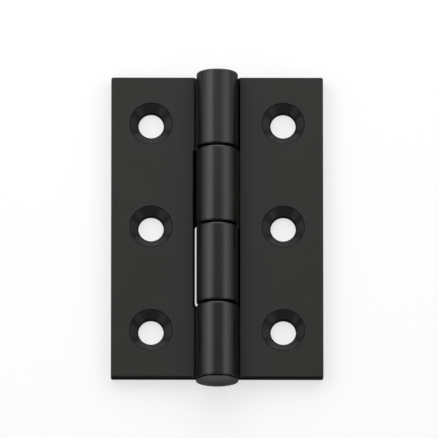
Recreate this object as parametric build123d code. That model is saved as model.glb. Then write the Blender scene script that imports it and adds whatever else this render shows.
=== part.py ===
from build123d import *
import math
import os

# A butt hinge lying open and flat on its backs, barrel up.
# Millimetres. X runs across the leaves, +Y along the pin away from its head, +Z up out of the front faces.
# The origin is on the plane of the backs, under the middle of the barrel and pin together.

# Leaves
leaf_height = 50.0
open_width = 34.2
leaf_thickness = 2.3
leaf_corner_radius = 0.3
leaf_edge_round = 0.18

# Barrel and its knuckles, from the end away from the pin's head
barrel_radius = 3.35
barrel_above_leaf = 0.25
barrel_below_leaf = 0.7
upper_middle_knuckle = 12.4
lower_middle_knuckle = 12.7
middle_joint_offset = -0.2
joint_gap = 0.48
knuckle_end_length = 0.22
knuckle_end_fall = 0.1

# The valley that runs along the barrel, and the cuts round the other leaf's knuckles
valley_clearance = 0.55
valley_depth = 0.7
left_cut_clearance = 0.75
cut_corner_radius = 0.4
lip_inset = 0.2
slit_clearance = 0.23
slit_end_margin = 0.1
relief_depth = 1.35
relief_end_margin = 0.7

# Screw holes
hole_radius = 2.04
countersink_radius = 3.45
countersink_angle = 82.0
countersink_edge_chamfer = 0.07
hole_from_outer_edge = 6.45
hole_spacing = 17.25
holes_per_leaf = 3

# Pin
pin_radius = 1.6
pin_running_clearance = 0.05
pin_end_depth = 0.3
pin_end_chamfer = 0.25
bore_mouth_chamfer = 0.25
head_overhang = 0.07
head_seat_radius = 2.3
head_seat_height = 0.27
head_rim_height = 0.1
head_rim_chamfer = 0.04
head_dome_height = 0.33
centre_mark_radius = 0.3
centre_mark_depth = 0.25

# Places that follow from the sizes
head_radius = barrel_radius + head_overhang
axis_height = head_radius
valley_radius = barrel_radius + valley_clearance
valley_floor = leaf_thickness - valley_depth
relief_floor = leaf_thickness - relief_depth
left_cut_radius = barrel_radius + left_cut_clearance
lip_reach = barrel_radius - lip_inset
slit_reach = barrel_radius + slit_clearance
leaf_reach = open_width / 2
head_height = head_seat_height + head_rim_height + head_dome_height
barrel_length = barrel_above_leaf + leaf_height + barrel_below_leaf
barrel_top = (barrel_length + head_height) / 2
barrel_bottom = barrel_top - barrel_length
leaf_top = barrel_top - barrel_above_leaf
leaf_bottom = leaf_top - leaf_height
leaf_centre = (leaf_top + leaf_bottom) / 2
middle_joint = leaf_centre + middle_joint_offset
upper_joint = middle_joint + joint_gap + upper_middle_knuckle
lower_joint = middle_joint - joint_gap - lower_middle_knuckle
hole_reach = leaf_reach - hole_from_outer_edge
through_height = 4 * leaf_thickness
run_past = barrel_length
same_size = 0.001

# Each knuckle's span along Y, as (low end, high end)
knuckle_1 = (upper_joint + joint_gap / 2, barrel_top)
knuckle_2 = (middle_joint + joint_gap / 2, upper_joint - joint_gap / 2)
knuckle_3 = (lower_joint + joint_gap / 2, middle_joint - joint_gap / 2)
knuckle_4 = (barrel_bottom, lower_joint - joint_gap / 2)


def circles(shape, radius):
    """The circular edges of one radius."""
    round_edges = shape.edges().filter_by(GeomType.CIRCLE)
    return round_edges.filter_by(lambda edge: abs(edge.radius - radius) < same_size)


def rod_along_y(radius, span):
    """A cylinder on the pin's axis."""
    low, high = span
    middle = (low + high) / 2
    return Pos(0, middle, axis_height) * Rot(90, 0, 0) * Cylinder(radius, high - low)


def knuckle(span):
    """One knuckle's round outside, turned down a little towards both ends."""
    low, high = span
    end_radius = barrel_radius - knuckle_end_fall
    half = Polyline(
        (0, low),
        (end_radius, low),
        (barrel_radius, low + knuckle_end_length),
        (barrel_radius, high - knuckle_end_length),
        (end_radius, high),
        (0, high),
        (0, low),
    )
    return Pos(0, 0, axis_height) * revolve(make_face(half), Axis.Y)


def above(height, shape):
    """The part of a cutting shape that stands above a height."""
    return shape & Pos(0, 0, height) * Box(
        run_past, 2 * run_past, run_past, align=(Align.CENTER, Align.CENTER, Align.MIN)
    )


def plate():
    """The flat leaf on the +X side, before any cut."""
    middle = Pos(leaf_reach / 2, leaf_centre, leaf_thickness / 2)
    blank = middle * Box(leaf_reach, leaf_height, leaf_thickness)
    outer_corners = blank.edges().filter_by(Axis.Z).group_by(Axis.X)[-1]
    blank = fillet(outer_corners, leaf_corner_radius)
    inner_edges = blank.faces().sort_by(Axis.X)[0].edges()
    rims = blank.faces().filter_by(Axis.Z).edges() - inner_edges
    valley = rod_along_y(valley_radius, (leaf_bottom - run_past, leaf_top + run_past))
    return fillet(rims, leaf_edge_round) - above(valley_floor, valley)


def rounded_slot(reach, span):
    """A straight cut through the leaf beside the barrel, with its outer corners rounded."""
    low, high = span
    block = Pos(0, (low + high) / 2, 0) * Box(2 * reach, high - low, through_height)
    corners = block.edges().filter_by(Axis.Z)
    return fillet(corners, cut_corner_radius)


def rounded_rod(radius, span):
    """A clearance cut on the pin's axis, with its end corners rounded."""
    rod = rod_along_y(radius, span)
    return fillet(rod.edges().filter_by(GeomType.CIRCLE), cut_corner_radius)


def relief_groove(span):
    """A deeper stretch of the valley beside one of the leaf's own knuckles."""
    return above(relief_floor, rounded_rod(valley_radius, span) - rod_along_y(barrel_radius, span))


def countersunk_holes(leaf):
    """Screw holes in a row, countersunk from the front, with the rims just broken."""
    depth = (countersink_radius - hole_radius) / math.tan(math.radians(countersink_angle / 2))
    for number in range(holes_per_leaf):
        y = leaf_centre + (number - (holes_per_leaf - 1) / 2) * hole_spacing
        through = Pos(hole_reach, y, 0) * Cylinder(hole_radius, through_height)
        sink = Pos(hole_reach, y, leaf_thickness - depth / 2) * Cone(hole_radius, countersink_radius, depth)
        leaf = leaf - through - sink
    return chamfer(circles(leaf, countersink_radius), countersink_edge_chamfer)


def left_leaf():
    """The leaf with the two end knuckles."""
    cut = (knuckle_4[1], knuckle_1[0])
    slit = (knuckle_3[0] + slit_end_margin, knuckle_2[0] + joint_gap)
    leaf = plate()
    leaf = leaf - rounded_rod(left_cut_radius, cut)
    leaf = leaf - rounded_slot(lip_reach, cut) - rounded_slot(slit_reach, slit)
    leaf = countersunk_holes(leaf)
    leaf = leaf + knuckle(knuckle_1) + knuckle(knuckle_4)
    leaf = leaf - rod_along_y(pin_radius, (barrel_bottom, barrel_top))
    mouth_rim = leaf.faces().sort_by(Axis.Y)[-1].inner_wires().edges()
    leaf = chamfer(mouth_rim, bore_mouth_chamfer)
    return leaf.mirror(Plane.YZ)


def right_leaf():
    """The leaf with the two middle knuckles."""
    upper_cut = (knuckle_2[1], knuckle_2[1] + run_past)
    lower_cut = (knuckle_3[0] - run_past, knuckle_3[0])
    relief = (knuckle_3[0] + relief_end_margin, knuckle_3[1] + joint_gap)
    leaf = plate()
    for cut in (upper_cut, lower_cut):
        leaf = leaf - rounded_rod(valley_radius, cut) - rounded_slot(lip_reach, cut)
    leaf = countersunk_holes(leaf)
    leaf = leaf + knuckle(knuckle_2) + knuckle(knuckle_3)
    leaf = leaf - relief_groove(relief)
    return leaf - rod_along_y(pin_radius + pin_running_clearance, (barrel_bottom, barrel_top))


def pin():
    """The turned pin with its thin domed head, drawn as a half section and revolved."""
    head_under = barrel_bottom - head_seat_height
    rim_end = head_under - head_rim_height
    dome_tip = rim_end - head_dome_height
    shaft_top = barrel_top - pin_end_depth
    dome_reach = head_radius - head_rim_chamfer
    dome_radius = (dome_reach**2 + head_dome_height**2) / (2 * head_dome_height)
    half = [
        Line((0, shaft_top), (pin_radius - pin_end_chamfer, shaft_top)),
        Line((pin_radius - pin_end_chamfer, shaft_top), (pin_radius, shaft_top - pin_end_chamfer)),
        Line((pin_radius, shaft_top - pin_end_chamfer), (pin_radius, barrel_bottom)),
        Line((pin_radius, barrel_bottom), (head_seat_radius, barrel_bottom)),
        Line((head_seat_radius, barrel_bottom), (head_seat_radius, head_under)),
        Line((head_seat_radius, head_under), (head_radius, head_under)),
        Line((head_radius, head_under), (head_radius, rim_end + head_rim_chamfer)),
        Line((head_radius, rim_end + head_rim_chamfer), (dome_reach, rim_end)),
        RadiusArc((dome_reach, rim_end), (0, dome_tip), dome_radius),
        Line((0, dome_tip), (0, shaft_top)),
    ]
    turned = revolve(make_face(half), Axis.Y)
    mark = Pos(0, dome_tip + centre_mark_depth / 2, 0) * Rot(90, 0, 0) * Cone(
        0, centre_mark_radius, centre_mark_depth
    )
    return Pos(0, 0, axis_height) * (turned - mark)


os.makedirs("parts", exist_ok=True)
export_step(left_leaf(), "parts/left_leaf.step")
export_step(right_leaf(), "parts/right_leaf.step")
export_step(pin(), "parts/pin.step")
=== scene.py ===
import math
import bpy
from mathutils import Matrix, Vector


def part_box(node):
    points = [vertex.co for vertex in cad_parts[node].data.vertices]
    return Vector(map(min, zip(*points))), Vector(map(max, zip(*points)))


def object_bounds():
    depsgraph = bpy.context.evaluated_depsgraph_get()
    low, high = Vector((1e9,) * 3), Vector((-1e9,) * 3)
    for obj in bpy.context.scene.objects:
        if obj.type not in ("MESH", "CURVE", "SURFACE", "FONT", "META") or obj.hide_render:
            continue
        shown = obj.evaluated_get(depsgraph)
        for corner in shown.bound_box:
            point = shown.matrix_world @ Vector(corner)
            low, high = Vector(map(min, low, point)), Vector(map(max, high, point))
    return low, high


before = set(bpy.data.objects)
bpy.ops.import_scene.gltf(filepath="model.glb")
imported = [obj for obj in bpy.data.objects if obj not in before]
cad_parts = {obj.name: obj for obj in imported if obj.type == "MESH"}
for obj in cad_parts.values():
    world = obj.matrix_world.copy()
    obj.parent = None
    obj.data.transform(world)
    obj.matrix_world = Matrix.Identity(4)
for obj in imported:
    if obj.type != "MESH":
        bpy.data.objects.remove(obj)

bpy.ops.object.select_all(action="DESELECT")
scene = bpy.context.scene
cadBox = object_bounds()
mm = 0.001

leafLow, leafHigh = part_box("left_leaf")
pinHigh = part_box("pin")[1]
hingeMiddle = (cadBox[0] + cadBox[1]) / 2
axisHeight = pinHigh.z / 2  # the pin's head just touches the ground, so its middle is the axis
alongPin = Vector((0, 1, 0))
print("frame loaded")


# shader maths: sums and products of wires add their own Math nodes


class Wire:
    def __init__(self, nodes, socket):
        self.nodes = nodes
        self.socket = socket

    def math(self, operation, *others):
        return self.nodes.add("Math", {"operation": operation}, dict(enumerate((self, *others))))

    def __add__(self, other):
        return self.math("ADD", other)

    def __sub__(self, other):
        return self.math("SUBTRACT", other)

    def __rsub__(self, other):
        return self.nodes.add("Math", {"operation": "SUBTRACT"}, {0: other, 1: self})

    def __mul__(self, other):
        return self.math("MULTIPLY", other)

    __radd__ = __add__
    __rmul__ = __mul__

    def past(self, edge, softness):
        # 0 up to the edge, then rising to 1 over the softness
        return ((self - edge) * (1 / softness)).math("MAXIMUM", 0).math("MINIMUM", 1)


class Nodes:
    def __init__(self, owner):
        owner.use_nodes = True
        self.tree = owner.node_tree
        self.tree.nodes.clear()

    def add(self, kind, settings, inputs, output=0):
        made = self.tree.nodes.new("ShaderNode" + kind)
        for key, value in settings.items():
            if key == "stops":
                for stop, (position, level) in zip(made.color_ramp.elements, value):
                    stop.position = position
                    stop.color = grey(level)
            else:
                setattr(made, key, value)
        for key, value in inputs.items():
            if isinstance(value, Wire):
                self.tree.links.new(value.socket, made.inputs[key])
            else:
                made.inputs[key].default_value = value
        return Wire(self, made.outputs[output]) if made.outputs else None

    def mix(self, factor, first, second):
        return self.add("Mix", {"data_type": "RGBA"}, {0: factor, 6: first, 7: second}, 2)

    def part(self, vector, axis):
        # one of a vector's X, Y and Z
        return self.add("SeparateXYZ", {}, {0: vector}, axis)


def grey(level):
    return (level, level, level, 1)


# the black finish: a thin satin coat over metal, a little glossier on the pin than on the leaves

blackLeaf = {
    "colour": (0.0014, 0.0022, 0.0008, 1),
    "paler": (0.0034, 0.0043, 0.0027, 1),
    "roughness": 0.48,
    "roughnessSpread": 0.05,
    "specular": 0.232,
    "grainSize": 0.16 * mm,
    "grainDepth": 0.0015 * mm,
    "waveSize": 4.0 * mm,
    "waveDepth": 0.02 * mm,
}

blackPin = {
    "colour": (0.0018, 0.0026, 0.0012, 1),
    "paler": (0.0038, 0.0046, 0.0031, 1),
    "roughness": 0.28,
    "roughnessSpread": 0.05,
    "specular": 0.34,
    "grainSize": 0.12 * mm,
    "grainDepth": 0.0012 * mm,
    "waveSize": 1.8 * mm,
    "waveDepth": 0.0015 * mm,
}

# how both finishes mottle: the share of the waves in the colour, and where the waves turn pale
mottle = {
    "grainDetail": 3.0,
    "waveDetail": 4.0,
    "waveShare": 0.7,
    "paleFrom": 0.35,
    "paleTo": 0.70,
}

# where the leaf's finish changes: turned knuckles, the valley and cuts beside them, and the sheared edges;
# and where shade beside the barrel and light in some valleys are painted into the colour
leafPlaces = {
    "top": 2.3 * mm,
    "knuckleReach": 3.36 * mm,
    "knuckleRoughness": 0.22,
    "valleyReach": 4.1 * mm,
    "valleyFloor": 1.55 * mm,
    "valleyBelowTop": 0.12 * mm,
    "joints": (13.255 * mm, 0.375 * mm, -12.8 * mm),  # between the knuckles, from the end away from the head
    "mattColour": (0.0036, 0.0040, 0.0032, 1),
    "mattRoughness": 0.60,
    "mattIor": 1.15,
    # painted light: the pale colour of the lit valleys
    "paintedLitValleyColour": (0.045, 0.047, 0.042, 1),
    # beside the barrel the leaf is rougher, and its colour is mixed towards the matt colour as painted shade
    # from the barrel
    "dullAndShadedFrom": 4.0 * mm,
    "dullAndShadedLength": 4.5 * mm,
    "besideBarrelPaintedShade": 0.8,
    "dullRoughness": 0.12,
    "edgeSteepness": 0.30,  # a face's upward part, below which it is a sheared edge
    "edgeFade": 0.25,
}

# the countersinks: turned rings, with a matt edge inside and outside
sinks = {
    "across": 10.65 * mm,
    "along": 0.575 * mm,
    "spacing": 17.25 * mm,
    "innerEdge": 2.16 * mm,
    "outerEdge": 3.32 * mm,
    "outside": 3.47 * mm,
    "ringPitch": 0.16 * mm,
    "ringDepth": 0.015 * mm,
    "roughness": 0.17,
    "colour": (0.0020, 0.0024, 0.0018, 1),
}

fine = 0.03 * mm  # how softly one finish meets the next
offBack = 0.1 * mm  # the leaf's back keeps the plain finish


def coat(nodes, look):
    # fine grain and wide waves, and what they do to colour, gloss and relief
    place = nodes.add("TexCoord", {}, {}, "Object")
    grain = nodes.add("TexNoise", {}, {
        "Vector": place, "Scale": 1 / look["grainSize"], "Detail": mottle["grainDetail"],
    })
    wave = nodes.add("TexNoise", {}, {
        "Vector": place, "Scale": 1 / look["waveSize"], "Detail": mottle["waveDetail"],
    })
    patches = nodes.add("ValToRGB", {"stops": ((mottle["paleFrom"], 0), (mottle["paleTo"], 1))}, {0: wave})
    paleness = patches * mottle["waveShare"] + grain * (1 - mottle["waveShare"])
    colour = nodes.mix(paleness, look["colour"], look["paler"])
    roughness = (wave + grain - 1) * look["roughnessSpread"] + look["roughness"]
    relief = grain * look["grainDepth"] + wave * look["waveDepth"]
    return place, colour, roughness, relief


def coated(nodes, look, colour, roughness, relief):
    bump = nodes.add("Bump", {}, {"Height": relief, "Strength": 1.0, "Distance": 1.0})
    return nodes.add("BsdfPrincipled", {}, {
        "Base Color": colour, "Roughness": roughness, "Specular IOR Level": look["specular"], "Normal": bump,
    })


def sinkMasks(across, along):
    # the distance from the nearest hole's middle gives the countersink, its two edges and its rings
    side = across - sinks["across"]
    nearest = (along - sinks["along"]).math("WRAP", sinks["spacing"] / 2, -sinks["spacing"] / 2)
    radius = (side * side + nearest * nearest).math("SQRT")
    within = 1 - radius.past(sinks["outside"], fine)
    edges = radius.past(sinks["outerEdge"], fine) + 1 - radius.past(sinks["innerEdge"], fine)
    rings = (radius * (2 * math.pi / sinks["ringPitch"])).math("SINE") * sinks["ringDepth"]
    return within, edges * within, rings


def cutColourWithPaintedLight(nodes, sideways, along, height, valley):
    # painted light: above its floor, the valley beside the first knuckle on the left, the second on the
    # right and the last on both sides is painted pale as if lit, and every other cut keeps the dark matt
    # colour
    onLeft = 1 - sideways.past(0, fine)
    first, second, third = (along.past(joint, fine) for joint in leafPlaces["joints"])
    paintedLit = first * onLeft + (second - first) * (1 - onLeft) + (1 - third)
    paintedLit = paintedLit * height.past(leafPlaces["valleyFloor"], fine)
    return nodes.mix(paintedLit * valley, leafPlaces["mattColour"], leafPlaces["paintedLitValleyColour"])


def leafFinish():
    made = bpy.data.materials.new("satin_black_leaf")
    nodes = Nodes(made)
    place, colour, roughness, relief = coat(nodes, blackLeaf)
    sideways, along, height = (nodes.part(place, axis) for axis in "XYZ")
    across = sideways.math("ABSOLUTE")
    overAxis = height - axisHeight
    fromAxis = (across * across + overAxis * overAxis).math("SQRT")
    faceUp = nodes.part(nodes.add("TexCoord", {}, {}, "Normal"), "Z").math("ABSOLUTE")

    # masks, each 1 on its own part of the leaf and 0 elsewhere
    front = height.past(offBack, offBack)
    knuckle = 1 - fromAxis.past(leafPlaces["knuckleReach"], fine)
    plate = across.past(leafPlaces["valleyReach"], fine)
    dullAndShaded = (1 - across.past(leafPlaces["dullAndShadedFrom"], leafPlaces["dullAndShadedLength"])) * (1 - knuckle)
    underTop = 1 - height.past(leafPlaces["top"] - leafPlaces["valleyBelowTop"], fine)
    valley = (1 - plate) * (1 - knuckle) * underTop
    edges = plate * (1 - faceUp.past(leafPlaces["edgeSteepness"], leafPlaces["edgeFade"]))
    sink, sinkEdges, rings = sinkMasks(across, along)
    sink = sink * front
    matt = (valley.math("MAXIMUM", sinkEdges) * front).math("MAXIMUM", edges)

    # painted shade: beside the barrel the colour is mixed towards the matt colour, standing in for the
    # barrel's shade on the leaf
    colour = nodes.mix(dullAndShaded * leafPlaces["besideBarrelPaintedShade"], colour, leafPlaces["mattColour"])
    colour = nodes.mix(sink, colour, sinks["colour"])
    roughness = roughness + knuckle * (leafPlaces["knuckleRoughness"] - blackLeaf["roughness"])
    roughness = roughness + dullAndShaded * leafPlaces["dullRoughness"]
    roughness = roughness + sink * (sinks["roughness"] - blackLeaf["roughness"])
    face = coated(nodes, blackLeaf, colour, roughness, relief + rings * sink)
    inCut = nodes.add("BsdfPrincipled", {}, {
        "Base Color": cutColourWithPaintedLight(nodes, sideways, along, height, valley),
        "Roughness": leafPlaces["mattRoughness"], "IOR": leafPlaces["mattIor"],
    })
    surface = nodes.add("MixShader", {}, {0: matt, 1: face, 2: inCut})
    nodes.add("OutputMaterial", {}, {"Surface": surface})
    return made


def pinFinish():
    made = bpy.data.materials.new("satin_black_pin")
    nodes = Nodes(made)
    place, colour, roughness, relief = coat(nodes, blackPin)
    nodes.add("OutputMaterial", {}, {"Surface": coated(nodes, blackPin, colour, roughness, relief)})
    return made


onLeaves = leafFinish()
onPin = pinFinish()
for node, finish in (("left_leaf", onLeaves), ("right_leaf", onLeaves), ("pin", onPin)):
    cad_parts[node].material_slots[0].material = finish
print("finishes done")


# studio: a white floor that keeps the shadow, a white surround and soft lights

studio = {
    "floorReach": 6.0,
    "floorGap": 0.02 * mm,  # keeps the floor just clear of the leaves' backs
    "floorGlow": 0.63,  # the floor's white that takes no shadow
    "floorShade": 0.24,  # and its share that does
    # painted shade: reflections near the hinge see the floor without its glow
    "glowFrom": (5 * mm, 1.5 * mm),  # how far off its sides and ends reflections begin to see the glow
    "glowFade": (90 * mm, 3 * mm),
    "surround": 0.45,  # how strongly the surround lights the hinge
    "horizon": 0.35,  # how bright reflections see it at the horizon
    "horizonEnd": 0.40,  # and how far up it turns white
    "lampPower": 4,  # watts a square metre for a brightness of 1
}

# each soft light: degrees from the zenith, degrees round from +X, distance, width across, length, brightness
softLights = {
    "left_wide": (52, 161, 0.50, 0.60, 0.32, 1.1),
    "left_narrow": (47, 161, 0.50, 0.25, 0.32, 1.5),
    "right_wide": (56, 19, 0.50, 0.49, 0.32, 1.0),
    "right_narrow": (52, 19, 0.50, 0.21, 0.32, 1.0),
    "left_front": (55, 217, 0.50, 0.22, 0.20, 1.5),
    "right_front": (55, 323, 0.50, 0.22, 0.20, 1.5),
    "near_light": (34, 98, 0.19, 0.27, 0.11, 0.8),
    "back_light": (62, 90, 0.60, 0.90, 0.40, 2.4),
}


def facing(back, upright):
    # the turn whose own Z looks along back and whose own Y leans to upright
    right = upright.cross(back).normalized()
    return Matrix((right, back.cross(right), back)).transposed().to_euler()


def floorMaterial():
    made = bpy.data.materials.new("floor_white")
    nodes = Nodes(made)
    place = nodes.add("TexCoord", {}, {}, "Object")
    # painted shade in reflections: near the hinge the glow is left out of what reflections see, standing in
    # for the hinge's shadow on the floor
    clear = []
    for axis, edge, start, fade in zip("XY", cadBox[1], studio["glowFrom"], studio["glowFade"]):
        beyond = nodes.part(place, axis).math("ABSOLUTE") - edge
        clear.append(beyond.past(start, fade))
    glossy = nodes.add("LightPath", {}, {}, "Is Glossy Ray") * clear[0].math("MAXIMUM", clear[1])
    seen = nodes.add("LightPath", {}, {}, "Is Camera Ray")
    through = nodes.add("LightPath", {}, {}, "Is Transmission Ray")
    shown = seen.math("MAXIMUM", glossy).math("MAXIMUM", through)
    surface = nodes.add("BsdfPrincipled", {}, {
        "Base Color": grey(studio["floorShade"]), "Roughness": 1.0, "Specular IOR Level": 0.0,
        "Emission Color": nodes.mix(shown, grey(0), grey(1)), "Emission Strength": studio["floorGlow"],
    })
    nodes.add("OutputMaterial", {}, {"Surface": surface})
    return made


def makeFloor():
    floorHeight = cadBox[0].z - studio["floorGap"]
    bpy.ops.mesh.primitive_plane_add(size=studio["floorReach"], location=(0, 0, floorHeight))
    floor = bpy.context.object
    floor.name = "floor"
    bpy.ops.object.transform_apply(location=True)
    floor.data.materials.append(floorMaterial())


def makeSurround():
    scene.world = bpy.data.worlds.new("surround")
    nodes = Nodes(scene.world)
    height = nodes.part(nodes.add("TexCoord", {}, {}, "Object"), "Z")
    upper = height.past(0, studio["horizonEnd"]) * (1 - studio["horizon"]) + studio["horizon"]
    glossy = nodes.add("LightPath", {}, {}, "Is Glossy Ray") * upper
    seen = nodes.add("LightPath", {}, {}, "Is Camera Ray")
    through = nodes.add("LightPath", {}, {}, "Is Transmission Ray")
    shown = seen.math("MAXIMUM", glossy).math("MAXIMUM", through)
    colour = nodes.mix(shown, grey(studio["surround"]), grey(1))
    back = nodes.add("Background", {}, {"Color": colour, "Strength": 1.0})
    nodes.add("OutputWorld", {}, {"Surface": back})


def makeLights():
    for name, (fromZenith, fromRight, distance, width, length, brightness) in softLights.items():
        lean = math.radians(fromZenith)
        way = math.radians(fromRight)
        outward = math.sin(lean)
        direction = Vector((outward * math.cos(way), outward * math.sin(way), math.cos(lean)))
        bpy.ops.object.light_add(type="AREA", location=hingeMiddle + direction * distance)
        lamp = bpy.context.object
        lamp.name = name
        lamp.rotation_euler = facing(direction, alongPin)
        lamp.data.shape = "RECTANGLE"
        lamp.data.size = width
        lamp.data.size_y = length
        lamp.data.energy = brightness * studio["lampPower"] * width * length
        lamp.visible_camera = False


makeFloor()
makeSurround()
makeLights()
print("studio done")


# camera: above the barrel, tipped towards the pin's head and a little towards the left leaf

view = {
    "elevation": 74.6,
    "turn": -0.3,
    "lens": 1250.0,
    "sensor": 36.0,
    "frameWidth": 70.65 * mm,
    "pictureSize": 438,
    "barrelColumn": 216.7,  # where the barrel's middle stands in the picture
    "leafRow": 227.4,  # where the leaves' middle stands in the picture
    "clipDistances": 3,
}


def makeCamera():
    # the picture's own axes come first, so that the pin stands upright in it
    tip = math.radians(view["elevation"])
    turn = math.radians(view["turn"])
    back = Vector((math.tan(turn), -math.cos(tip), math.sin(tip))).normalized()
    up = (alongPin - back * alongPin.dot(back)).normalized()
    right = up.cross(back)
    pixel = view["frameWidth"] / view["pictureSize"]
    middle = (view["pictureSize"] - 1) / 2
    barrel = Vector((0, 0, axisHeight))
    leafMiddle = Vector((0, (leafHigh.y + leafLow.y) / 2, leafPlaces["top"]))
    across = barrel.dot(right) - (view["barrelColumn"] - middle) * pixel
    upward = leafMiddle.dot(up) + (view["leafRow"] - middle) * pixel
    distance = view["frameWidth"] * view["lens"] / view["sensor"]
    bpy.ops.object.camera_add(location=right * across + up * upward + back * distance)
    camera = bpy.context.object
    camera.name = "camera"
    camera.rotation_euler = facing(back, alongPin)
    camera.data.lens = view["lens"]
    camera.data.sensor_width = view["sensor"]
    camera.data.clip_end = view["clipDistances"] * distance
    scene.camera = camera


makeCamera()
scene.view_settings.view_transform = "Standard"
print("camera done")
